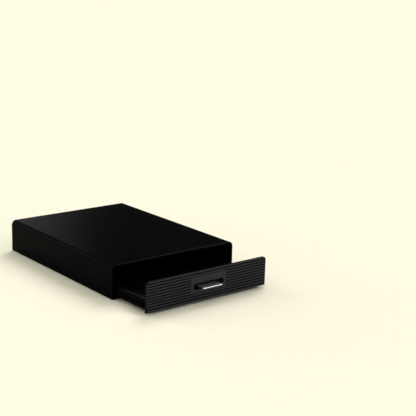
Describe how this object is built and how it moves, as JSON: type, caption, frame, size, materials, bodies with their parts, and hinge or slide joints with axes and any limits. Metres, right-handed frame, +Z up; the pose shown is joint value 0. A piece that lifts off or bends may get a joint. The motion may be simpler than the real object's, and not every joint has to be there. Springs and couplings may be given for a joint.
{
  "type": "coffee pod drawer",
  "caption": "Low storage drawer for coffee pods with a ribbed front, a recessed handle and a sliding tray with lanes; a coffee machine stands on it.",
  "frame": {"origin": "on the worktop plane under the feet, at the middle of the whole outline's width and depth, with the drawer part way open as stored", "axes": "+X to the right seen from the front, +Y from the drawer front to the back, +Z up"},
  "size_m": [0.25, 0.4296, 0.0575],
  "materials": {
    "casing_black": "satin black",
    "inside_black": "satin black",
    "front_charcoal": "satin charcoal",
    "bezel_charcoal": "satin charcoal",
    "tab_chrome": "polished",
    "glide_plastic": "satin black",
    "foot_rubber": "matt",
    "screw_steel": "zinc plated"
  },
  "bodies": {
    "casing": {"casing_shell": "casing_black", "base_plate": "casing_black", "rear_panel": "casing_black", "guide_left": "inside_black", "guide_right": "inside_black", "foot_front_left": "foot_rubber", "foot_front_right": "foot_rubber", "foot_rear_left": "foot_rubber", "foot_rear_right": "foot_rubber", "base_screws": "screw_steel", "guide_screws": "screw_steel"},
    "drawer": {"drawer_tray": "inside_black", "lane_divider_1": "inside_black", "lane_divider_2": "inside_black", "lane_divider_3": "inside_black", "lane_divider_4": "inside_black", "glide_left": "glide_plastic", "glide_right": "glide_plastic", "front_panel": "front_charcoal", "handle_bezel": "bezel_charcoal", "pull_tab": "tab_chrome", "panel_screws": "screw_steel", "bezel_screws": "screw_steel", "pull_screws": "screw_steel"}
  },
  "joints": [
    {"name": "drawer_slide", "type": "slide", "parent": "casing", "child": "drawer", "axis": [0, -1, 0], "range_m": [-0.088, 0.137]}
  ]
}
